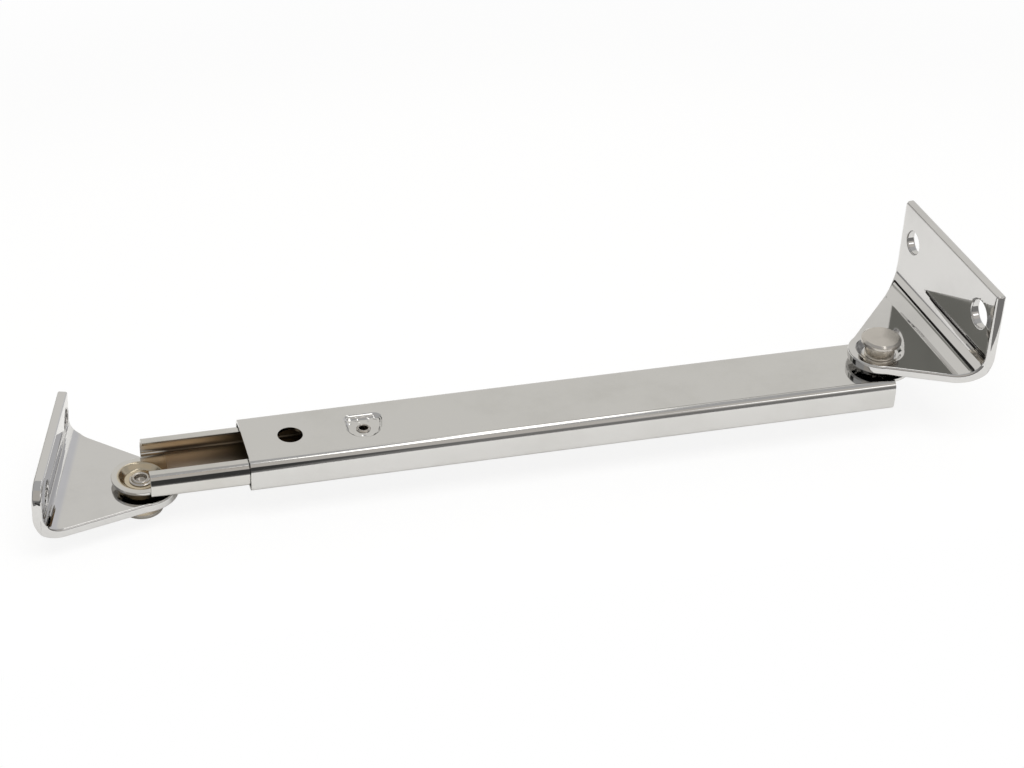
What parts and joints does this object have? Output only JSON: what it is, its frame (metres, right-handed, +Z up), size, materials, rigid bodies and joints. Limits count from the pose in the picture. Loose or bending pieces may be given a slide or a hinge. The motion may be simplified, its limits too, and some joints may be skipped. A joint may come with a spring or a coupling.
{
  "type": "telescopic hood support",
  "caption": "Chromed two-channel sliding stay for a hood, with a swivelling angle bracket on a headed rivet at each end.",
  "frame": {"origin": "middle between the two holes of the right bracket, on the outer face of its flange", "axes": "+X along the arm from the left pivot to the right pivot, +Z up out of the outer channel's closed side, +Y away from the side seen in the picture"},
  "size_m": [0.2958, 0.0597, 0.055],
  "materials": {
    "bracket_chrome": "polished chrome plate",
    "channel_chrome": "chrome plate, lightly satin",
    "channel_inner": "thin chrome plate, warm tone",
    "rivet_nickel": "turned, nickel plated",
    "spring_steel": "blued spring steel",
    "pawl_steel": "plain hardened steel"
  },
  "bodies": {
    "right_mount": {"right_bracket": "bracket_chrome"},
    "outer_arm": {"outer_channel": "channel_chrome", "right_pivot_rivet": "rivet_nickel", "stop_rivet": "rivet_nickel", "latch_spring": "spring_steel"},
    "inner_arm": {"inner_channel": "channel_inner", "left_pivot_rivet": "rivet_nickel"},
    "left_mount": {"left_bracket": "bracket_chrome"},
    "pawl": {"latch_pawl": "pawl_steel", "pawl_rivet": "pawl_steel"}
  },
  "joints": [
    {"name": "right_pivot", "type": "hinge", "parent": "right_mount", "child": "outer_arm", "pos_m": [-0.02557, -0.00779, -0.02375], "axis": [0, 0, 1], "continuous": true},
    {"name": "arm_slide", "type": "slide", "parent": "outer_arm", "child": "inner_arm", "axis": [-1, 0, 0], "range_m": [0, 0.1225]},
    {"name": "left_pivot", "type": "hinge", "parent": "inner_arm", "child": "left_mount", "pos_m": [-0.25897, -0.00779, -0.02375], "axis": [0, 0, 1], "range_deg": [-90, 120]},
    {"name": "pawl_lift", "type": "slide", "parent": "outer_arm", "child": "pawl", "axis": [0, 0, 1], "range_m": [0, 0.0025], "stiffness_N_per_m": 780, "springref_m": -0.001, "deforming": ["latch_spring"]}
  ]
}
